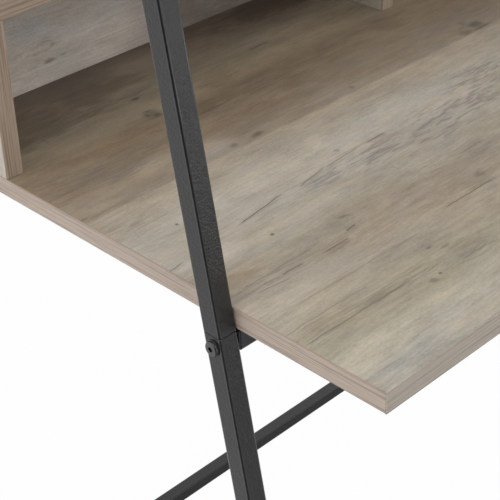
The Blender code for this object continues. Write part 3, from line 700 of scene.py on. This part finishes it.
def cut_ring(shape, line, cut, short=0.0):
    """A ring on a line, each point slid along the line's way until it lies in a cut plane, or short of it."""
    foot, way, across, up = line
    point, normal = cut
    base = foot + shape[:, :1] * across + shape[:, 1:] * up
    slide = (point - base) @ normal / (way @ normal) + short
    return base + slide[:, None] * way


def tube_shell(side, line, cuts, roundings=(END_ROUNDING, END_ROUNDING)):
    """A square tube between two cut planes, as a loop of rings: up the outer skin and back down the inner one.

    At a rounded end the outer ring stops short, and a ring drawn in by the same amount lies in the plane.
    """
    outer = rounded_ring(side, side, TUBE_CORNER)
    inside = side - 2 * TUBE_WALL
    inner = rounded_ring(inside, inside, TUBE_CORNER - TUBE_WALL)
    first, last = [rounded_ring(side - 2 * r, side - 2 * r, TUBE_CORNER - r) for r in roundings]
    rings = (
        cut_ring(inner, line, cuts[0]), cut_ring(first, line, cuts[0]),
        cut_ring(outer, line, cuts[0], roundings[0]), cut_ring(outer, line, cuts[1], -roundings[1]),
        cut_ring(last, line, cuts[1]), cut_ring(inner, line, cuts[1]),
    )
    return skin(np.stack(rings), loop=True)


def slab_shell(line, width, depth, corner, start, end, rounding=SMALL_ROUNDING):
    """A rounded rectangle carried along a line from start to end, with rings drawn in at both ends."""
    foot, way, across, up = line
    rings = []
    for inset, at in ((rounding, start), (0, start + rounding), (0, end - rounding), (rounding, end)):
        ring = rounded_ring(width - 2 * inset, depth - 2 * inset, corner - inset)
        rings.append(foot + ring[:, :1] * across + ring[:, 1:] * up + at * way)
    return skin(np.stack(rings))


def turned_shell(profile, outline, line):
    """A profile of radius, height and shape turned about a line; shape 1 follows the outline, shape 0 a circle."""
    foot, way, across, up = line
    turn = np.linspace(0, 2 * pi, TURN_STEPS, endpoint=False)
    radius, height, shape = np.array(profile).T[:, :, None]
    reach = radius * (1 - shape + shape * outline(turn))
    outwards = np.cos(turn)[:, None] * across + np.sin(turn)[:, None] * up
    return skin(foot + reach[..., None] * outwards + height[..., None] * way)


def hexagon(turn):
    """How far a hexagon of inner radius 1 reaches at an angle."""
    return 1 / np.cos((turn + pi / 6) % (pi / 3) - pi / 6)


def cross(turn):
    """How far a cross of reach 1 reaches at an angle."""
    arm = CROSS_WIDTH / 2 / CROSS_REACH
    x, y = np.abs(np.cos(turn)) + TINY, np.abs(np.sin(turn)) + TINY
    return np.maximum(np.minimum(1 / x, arm / y), np.minimum(arm / x, 1 / y))


def weld_shell(foot, first, second):
    """A weld bead across a tube in the corner of two faces.

    An arc between the faces' normals, a little past both, closed by a root behind it, is carried along X. A cosine
    ripples its size, and a high power of the way from the middle thins it at the ends.
    """
    along = np.linspace(-1, 1, WELD_STEPS)
    turn = np.linspace(-WELD_OVERRUN, pi / 2 + WELD_OVERRUN, WELD_ARC_STEPS)
    ripple = np.cos(2 * pi * along * TUBE / 2 / WELD_RIPPLE)
    size = WELD_SIZE * (1 - WELD_RIPPLE_SHARE + WELD_RIPPLE_SHARE * ripple)
    size = size * np.sqrt(1 - WELD_END_DROP * along ** WELD_END_POWER)
    arc = np.cos(turn)[:, None] * first + np.sin(turn)[:, None] * second
    arc = np.vstack((arc, -WELD_ROOT * (first + second)))
    run = along * (TUBE / 2 - TUBE_CORNER / 2)
    rings = foot + size[:, None, None] * arc[None] + run[:, None, None] * RIGHT
    return skin(rings if np.cross(first, second) @ RIGHT > 0 else rings[:, ::-1])


def piece(name, shells, finish, replaced, weights=None):
    """One object from closed shells, riding on the desk in place of a solid."""
    starts = np.cumsum([0] + [len(points) for points, _ in shells])
    points = np.vstack([points for points, _ in shells])
    faces = [[start + corner for corner in face] for start, (_, shell) in zip(starts, shells) for face in shell]
    mesh = bpy.data.meshes.new(name)
    mesh.from_pydata(points.tolist(), [], faces)
    mesh.shade_smooth()
    mesh.set_sharp_from_angle(angle=SMOOTH_ANGLE)
    corner = np.zeros(len(points))
    if weights is not None:
        corner[:len(weights)] = weights
    mesh.attributes.new("corner", "FLOAT", "POINT").data.foreach_set("value", corner)
    mesh.materials.append(FINISHES[finish])
    result = bpy.data.objects.new(name, mesh)
    bpy.context.scene.collection.objects.link(result)
    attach(result, "root")
    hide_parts(replaced)


# Side frames

BEHIND_LEG = np.cross(LEG_WAY, RIGHT)
TUBE_WEIGHTS = np.tile(corner_weights(), 6)
FLOOR_CUT = (FOOT_FLANGE + GAP) * UP, UP


def unit(vector):
    """A vector of length 1 in the same direction."""
    return vector / np.linalg.norm(vector)


def leg_tubes(side, out):
    """Lower and upper tube of the leaning front leg and of the upright rear leg."""
    legs = {
        "front": (np.array((0, leg_axis_y(SEAM_Z), SEAM_Z)), LEG_WAY, BEHIND_LEG,
                  (np.array((0, leg_axis_y(TOP_BAR_Z), TOP_BAR_Z)), unit(LEG_WAY + BACK))),
        "rear": (np.array((0, REAR_LEG_Y, SEAM_Z)), UP, BACK,
                 (np.array((0, REAR_LEG_Y, TOP_BAR_Z)), unit(UP - BACK))),
    }
    for leg, (seam, way, behind, mitre) in legs.items():
        line = out + seam, way, RIGHT, behind
        below, above = (out + seam - UP * GAP / 2, UP), (out + seam + UP * GAP / 2, UP)
        tubes = {"lower": tube_shell(TUBE, line, (FLOOR_CUT, below)),
                 "upper": tube_shell(TUBE, line, (above, mitre), (END_ROUNDING, 0.0))}
        for part, shell in tubes.items():
            piece(f"{leg}_{part}_tube_{side}", [shell], "powder_coat", f"{leg}_leg_{part}_{side}", TUBE_WEIGHTS)


def side_bars(side, out):
    """Low bar welded between the legs, and top bar mitred to them."""
    front = np.array((0, leg_axis_y(LOW_BAR_HEIGHT), LOW_BAR_HEIGHT)) + BEHIND_LEG * (TUBE / 2 + GAP)
    rear = np.array((0, REAR_LEG_Y - TUBE / 2 - GAP, LOW_BAR_HEIGHT))
    line = out + rear, BACK, RIGHT, -UP
    shells = [tube_shell(TUBE, line, ((out + front, BEHIND_LEG), (out + rear, BACK)), (0.0, 0.0))]
    for face in (UP, -UP):
        at = out + rear + face * TUBE / 2
        shells.append(weld_shell(at, face, -BACK))
        slope = np.array((0, tan(LEAN), 1)) * face[2]
        shells.append(weld_shell(out + front + slope * TUBE / 2, face, BEHIND_LEG))
    piece(f"low_bar_tube_{side}", shells, "powder_coat", f"side_bar_low_{side}", TUBE_WEIGHTS)

    front = np.array((0, leg_axis_y(TOP_BAR_Z), TOP_BAR_Z))
    rear = np.array((0, REAR_LEG_Y, TOP_BAR_Z))
    line = out + rear, BACK, RIGHT, -UP
    cuts = (out + front, unit(LEG_WAY + BACK)), (out + rear, unit(BACK - UP))
    piece(f"top_bar_tube_{side}", [tube_shell(TUBE, line, cuts, (0.0, 0.0))], "powder_coat", f"side_bar_top_{side}",
          TUBE_WEIGHTS)


def feet(side, out):
    """A plastic foot in each leg: a flange rounded below, then a plug that follows the leg."""
    plug = TUBE - 2 * TUBE_WALL - 2 * GAP
    for leg, lean, y in (("front", LEAN, leg_axis_y(FOOT_FLANGE)), ("rear", 0.0, REAR_LEG_Y)):
        stretch = 1 / cos(lean)
        rows = (
            (TUBE - 4 * SMALL_ROUNDING, 0.0), (TUBE, 2 * SMALL_ROUNDING), (TUBE, FOOT_FLANGE - SMALL_ROUNDING),
            (TUBE - 2 * SMALL_ROUNDING, FOOT_FLANGE), (plug, FOOT_FLANGE),
            (plug, FOOT_FLANGE + FOOT_PLUG * cos(lean)),
        )
        rings = []
        for size, height in rows:
            ring = rounded_ring(size, size * stretch, TUBE_CORNER - (TUBE - size) / 4)
            shift = tan(lean) * max(height - FOOT_FLANGE, 0)
            rings.append(np.column_stack((ring, np.full(len(ring), height))) + out + (y + shift) * BACK)
        piece(f"{leg}_plug_{side}", [skin(np.stack(rings))], "black_plastic", f"{leg}_foot_{side}")


# Members that run along X, their bolts and their screws

def member_tube(name, y, z):
    """Tube with a plate standing out of each end; a rail also has a lug under the board at each screw."""
    size = STRETCHER_TUBE if name == "stretcher" else TUBE
    foot = np.array((0, y, z))
    reach = LEG_X - TUBE / 2 - GAP
    line = foot, RIGHT, BACK, UP
    cuts = [(foot + sign * (reach - END_GROOVE) * RIGHT, RIGHT) for sign in (-1, 1)]
    shells = [tube_shell(size, line, cuts)]
    plate = size - TUBE_WALL
    for sign in SIDES.values():
        start, end = sorted((sign * reach, sign * (reach - END_PLATE)))
        shells.append(slab_shell(line, plate, plate, TUBE_CORNER - TUBE_WALL / 2, start, end))
        if name != "stretcher":
            lug = foot + sign * SCREW_X * RIGHT + TUBE / 2 * UP, UP, RIGHT, BACK
            shells.append(slab_shell(lug, LUG_LENGTH, TUBE - 2 * TUBE_CORNER, TUBE_CORNER, -TUBE_WALL / 2, LUG))
    piece(f"{name}_tube", shells, "powder_coat", name, TUBE_WEIGHTS)


def bolt(name, side, sign, y, z):
    """Low-head bolt on its washer: shank, washer, rounded flank, flat face, and a hexagon socket, dished below."""
    head, washer, shank = BOLT_HEAD_DIAMETER / 2, WASHER_DIAMETER / 2, BOLT_DIAMETER / 2
    rise, top = BOLT_HEAD_HEIGHT - BOLT_HEAD_RIM, WASHER + BOLT_HEAD_HEIGHT
    face, mouth = BOLT_FACE_DIAMETER / 2, BOLT_SOCKET / 2
    small = SMALL_ROUNDING
    profile = [(shank - 2 * small, -BOLT_SHANK, 0), (shank, -BOLT_SHANK + 2 * small, 0), (shank, 0, 0),
               (washer - small, 0, 0), (washer, small, 0), (washer, WASHER - small, 0), (washer - small, WASHER, 0),
               (head - small, WASHER, 0), (head, WASHER + small, 0)]
    profile += [(face + (head - face) * cos(a), WASHER + BOLT_HEAD_RIM + rise * sin(a), 0)
                for a in np.linspace(0, pi / 2, DOME_STEPS)]
    profile += [(mouth + small / 2, top, 1), (mouth, top - small / 2, 1), (mouth, top - BOLT_SOCKET_DEPTH, 1),
                (mouth / 4, top - BOLT_SOCKET_DEPTH - BOLT_DISH, 0)]
    line = np.array((sign * (LEG_X + TUBE / 2 + GAP), y, z)), sign * RIGHT, BACK, sign * UP
    piece(f"{name}_button_bolt_{side}", [turned_shell(profile, hexagon, line)], "bolt_steel", f"{name}_bolt_{side}")


def screw(name, side, x, y, z):
    """Pan-head screw, head down: tip, shank, rounded head, and a cross recess."""
    head, shank = SCREW_HEAD_DIAMETER / 2, SCREW_DIAMETER / 2
    small = SMALL_ROUNDING
    flank = SCREW_HEAD_HEIGHT * SCREW_FLANK
    profile = [(small, -SCREW_LENGTH, 0), (shank, SCREW_TIP - SCREW_LENGTH, 0), (shank, 0, 0), (head - small, 0, 0),
               (head, small, 0), (head, flank, 0)]
    profile += [(head * cos(a), flank + (SCREW_HEAD_HEIGHT - flank) * sin(a), 0)
                for a in np.linspace(*SCREW_DOME, DOME_STEPS)]
    top = SCREW_HEAD_HEIGHT * SCREW_FACE
    profile += [(CROSS_REACH * CROSS_LIP, top, 1), (CROSS_REACH, top - small, 1),
                (CROSS_REACH * CROSS_TAPER, top - CROSS_DEPTH, 1)]
    line = np.array((x, y, z - TUBE / 2 - GAP)), -UP, RIGHT, -BACK
    piece(f"{name}_pan_screw_{side}", [turned_shell(profile, cross, line)], "zinc", f"{name}_screw_{side}")


for frame_side, frame_sign in SIDES.items():
    frame_place = frame_sign * LEG_X * RIGHT
    leg_tubes(frame_side, frame_place)
    side_bars(frame_side, frame_place)
    feet(frame_side, frame_place)
for member_name, (member_y, member_z) in MEMBERS.items():
    member_tube(member_name, member_y, member_z)
    for frame_side, frame_sign in SIDES.items():
        bolt(member_name, frame_side, frame_sign, member_y, member_z)
        if member_name != "stretcher":
            screw(member_name, frame_side, frame_sign * SCREW_X, member_y, member_z)


# Finishes of the solids that stay

DESK_MIDDLE = (DESK_HEIGHT - BOARD / 2) * MM
HUTCH_TOP_MIDDLE = (DESK_HEIGHT + HUTCH_OPENING + BOARD / 2) * MM
SHELF_MIDDLE = (SHELF_UNDERSIDE + BOARD / 2) * MM
BACK_MIDDLE = (BACK_EDGE_Y - BOARD / 2) * MM
UPRIGHT_MIDDLE = (DESKTOP_LENGTH / 2 - HUTCH_SETBACK - BOARD / 2) * MM
UPRIGHTS = {"hutch_side_left": -UPRIGHT_MIDDLE, "hutch_divider": 0.0, "hutch_side_right": UPRIGHT_MIDDLE}
# Millimetres along and across by which a board's print is moved
NO_SHIFT = (0, 0)
HUTCH_TOP_SHIFT = (250, -300)
SHELF_SHIFT = (-90, -170)
UPRIGHT_SHIFT = (-1100, 1200)
BOARDS = {
    "desktop": board_finish("desktop_laminate", 0, 1, NO_SHIFT, 2, DESK_MIDDLE, DESKTOP_PRINT),
    "hutch_back": board_finish("back_laminate", 0, 2, NO_SHIFT, 1, BACK_MIDDLE, BACK_PRINT, -1),
    "hutch_top": board_finish("hutch_top_laminate", 0, 1, HUTCH_TOP_SHIFT, 2, HUTCH_TOP_MIDDLE, DESKTOP_PRINT),
    "upper_shelf": board_finish("shelf_laminate", 0, 1, SHELF_SHIFT, 2, SHELF_MIDDLE, DESKTOP_PRINT),
}
LONG_BANDS = {
    "desktop": band_finish("desktop_long_banding", 0, 2, DESK_MIDDLE, GREYER),
    "hutch_top": band_finish("hutch_top_banding", 0, 2, HUTCH_TOP_MIDDLE, BROWNER),
    "upper_shelf": band_finish("shelf_banding", 0, 2, SHELF_MIDDLE, GREYER),
}
for board_name, board_x in UPRIGHTS.items():
    BOARDS[board_name] = board_finish(f"{board_name}_laminate", 2, 1, UPRIGHT_SHIFT, 0, board_x, SIDE_PRINT)
    LONG_BANDS[board_name] = band_finish(f"{board_name}_banding", 2, 0, board_x, BROWNER)
END_BAND = band_finish("desktop_end_banding", 1, 2, DESK_MIDDLE, PLAIN)


def finish_of(name):
    """The finish of a solid that the scene shows as it is."""
    board, _, band = name.partition("_edge_")
    if band in SIDES:
        return END_BAND
    if band:
        return LONG_BANDS[board]
    return BOARDS.get(name, FINISHES["zinc"])


for node_name, solid in nodes.items():
    solid.data.materials.clear()
    solid.data.materials.append(finish_of(node_name))


# Studio

CAMERA_PLACE = (-1.17623, -0.82442, 1.40218)
CAMERA_RIGHT = (0.71065, -0.70295, -0.02908)
CAMERA_AHEAD = (0.58101, 0.60968, -0.53918)
LENS = 98.249
SENSOR = 36.0
FLOOR_HALF = 6.0
FLOOR_GREY = (0.8, 0.8, 0.8)
WHITE = (1, 1, 1)
# What gloss sees: a dark side of the studio, painted on the floor too, then painted shade on parts of the floor (from,
# to, level), then a bright card painted on the floor; in millimetres
DARK_SIDE = (-0.755, -0.656)
DARK_FROM = (-570.0, -130.0)
DARK_SPREAD = (0.62, 0.90)
DARK_LEVEL = 0.05
FRONT_SHADE = (-100.0, -400.0, 0.54)
UNDER_ALONG, UNDER_AHEAD = (560.0, 480.0), (330.0, 250.0, 0.8)
REST_SHADE = (-1900.0, -900.0, 0.22)
CARD_PLACE = (2800.0, -4550.0)
CARD_SPREAD = (1400.0, 750.0)
CARD_LEVEL = 7.0
FLOOR_GLOSS = 0.85
WORLD_GLOSS = 0.85
# What the camera sees, and what lights the desk
FLOOR_WHITE = 0.97
WORLD_LIGHT = 0.45
# Place, aim, size and power
SOFTBOXES = {
    "overhead_softbox": ((-0.8, -1.4, 3.0), (-0.2, -0.1, 0.8), (2.0, 2.0), 22.5),
    "left_softbox": ((-2.7, 0.4, 2.3), (-0.3, 0.0, 0.8), (1.8, 1.8), 49),
    "front_softbox": ((-0.9, -3.0, 1.3), (-0.2, 0.2, 0.8), (2.4, 1.4), 6),
    "right_softbox": ((2.7, -1.15, 1.25), (-0.3, 0.3, 0.8), (1.0, 0.8), 56),
}


def camera():
    """The camera that was solved from the photo's edges."""
    ahead = unit(np.array(CAMERA_AHEAD))
    right = unit(np.array(CAMERA_RIGHT) - ahead * (ahead @ CAMERA_RIGHT))
    data = bpy.data.cameras.new("camera")
    data.lens, data.sensor_width, data.sensor_fit = LENS, SENSOR, "HORIZONTAL"
    result = bpy.data.objects.new("camera", data)
    turn = np.eye(4)
    turn[:3] = np.column_stack((right, np.cross(right, ahead), -ahead, CAMERA_PLACE))
    result.matrix_world = Matrix(turn.tolist())
    bpy.context.scene.collection.objects.link(result)
    bpy.context.scene.camera = result


def light_path(sheet, *names):
    """Masks that are 1 for a kind of ray."""
    outputs = sheet.node("ShaderNodeLightPath").socket.node.outputs
    return [Wire(sheet, outputs[name]) for name in names]


def studio_floor():
    """A pale floor that the camera sees as white with a faint shadow.

    Gloss sees painted shade on it: dark on the camera's side, darker under and in front of the desk and less so
    elsewhere but far to the left; and a bright card painted on it, which glows for gloss only.
    """
    mesh = bpy.data.meshes.new("floor")
    half = FLOOR_HALF
    mesh.from_pydata([(-half, -half, 0), (half, -half, 0), (half, half, 0), (-half, half, 0)], [], [(0, 1, 2, 3)])
    floor = bpy.data.objects.new("floor", mesh)
    bpy.context.scene.collection.objects.link(floor)
    result, sheet = material("floor")
    x, y, _ = sheet.place()
    seen, glossy, through = light_path(sheet, "Is Camera Ray", "Is Glossy Ray", "Is Transmission Ray")
    along, ahead = x - DARK_FROM[0], y - DARK_FROM[1]
    turned = (along * DARK_SIDE[0] + ahead * DARK_SIDE[1]) / (along * along + ahead * ahead + 1.0) ** 0.5
    under = sheet.smooth(abs(x), *UNDER_ALONG) * sheet.smooth(abs(y), *UNDER_AHEAD)
    front, rest = sheet.smooth(y, *FRONT_SHADE), sheet.smooth(x, *REST_SHADE)
    shade = greatest([sheet.smooth(turned, *DARK_SPREAD), front, under, rest])
    along, ahead = x - CARD_PLACE[0], y - CARD_PLACE[1]
    on_card = sheet.smooth((along * along + ahead * ahead) ** 0.5, *CARD_SPREAD)
    diffuse = sheet.node("ShaderNodeBsdfDiffuse", sockets={"Color": FLOOR_GREY})
    white, dark, card = [sheet.node("ShaderNodeEmission", sockets={"Color": WHITE, "Strength": strength})
                         for strength in (1.0, DARK_LEVEL, CARD_LEVEL)]
    mirrored = sheet.node("ShaderNodeMixShader", sockets={0: shade, 1: white, 2: dark})
    mirrored = sheet.node("ShaderNodeMixShader", sockets={0: on_card, 1: mirrored, 2: card})
    lit = sheet.node("ShaderNodeMixShader", sockets={0: glossy * FLOOR_GLOSS + through, 1: diffuse, 2: mirrored})
    surface = sheet.node("ShaderNodeMixShader", sockets={0: seen * FLOOR_WHITE, 1: lit, 2: white})
    sheet.node("ShaderNodeOutputMaterial", sockets={"Surface": surface})
    mesh.materials.append(result)


def studio_world():
    """White for the camera and an even soft light; gloss sees a dark wall on the camera's side."""
    world = bpy.data.worlds.new("studio")
    bpy.context.scene.world = world
    sheet = Sheet(world)
    way = sheet.node("ShaderNodeTexCoord", output="Generated")
    split = sheet.node("ShaderNodeSeparateXYZ", sockets={0: way}).socket.node.outputs
    turned = Wire(sheet, split["X"]) * DARK_SIDE[0] + Wire(sheet, split["Y"]) * DARK_SIDE[1]
    seen, glossy = light_path(sheet, "Is Camera Ray", "Is Glossy Ray")
    white, bright, dark, soft = [sheet.node("ShaderNodeBackground", sockets={"Color": WHITE, "Strength": strength})
                                 for strength in (1.0, WORLD_GLOSS, DARK_LEVEL, WORLD_LIGHT)]
    mirrored = sheet.node("ShaderNodeMixShader", sockets={0: sheet.smooth(turned, *DARK_SPREAD), 1: bright, 2: dark})
    lit = sheet.node("ShaderNodeMixShader", sockets={0: glossy, 1: soft, 2: mirrored})
    surface = sheet.node("ShaderNodeMixShader", sockets={0: seen, 1: lit, 2: white})
    sheet.node("ShaderNodeOutputWorld", sockets={"Surface": surface})
    world.cycles.sampling_method = "NONE"


def softbox(name, place, aim, size, power):
    """A soft rectangular light, which gloss doesn't see."""
    data = bpy.data.lights.new(name, "AREA")
    data.shape, data.size, data.size_y, data.energy = "RECTANGLE", *size, power
    light = bpy.data.objects.new(name, data)
    light.location = place
    light.rotation_euler = (Vector(place) - Vector(aim)).to_track_quat("Z", "Y").to_euler()
    light.visible_glossy = False
    bpy.context.scene.collection.objects.link(light)


camera()
studio_floor()
studio_world()
for light_name, light_row in SOFTBOXES.items():
    softbox(light_name, *light_row)
bpy.context.scene.view_settings.view_transform = "Standard"
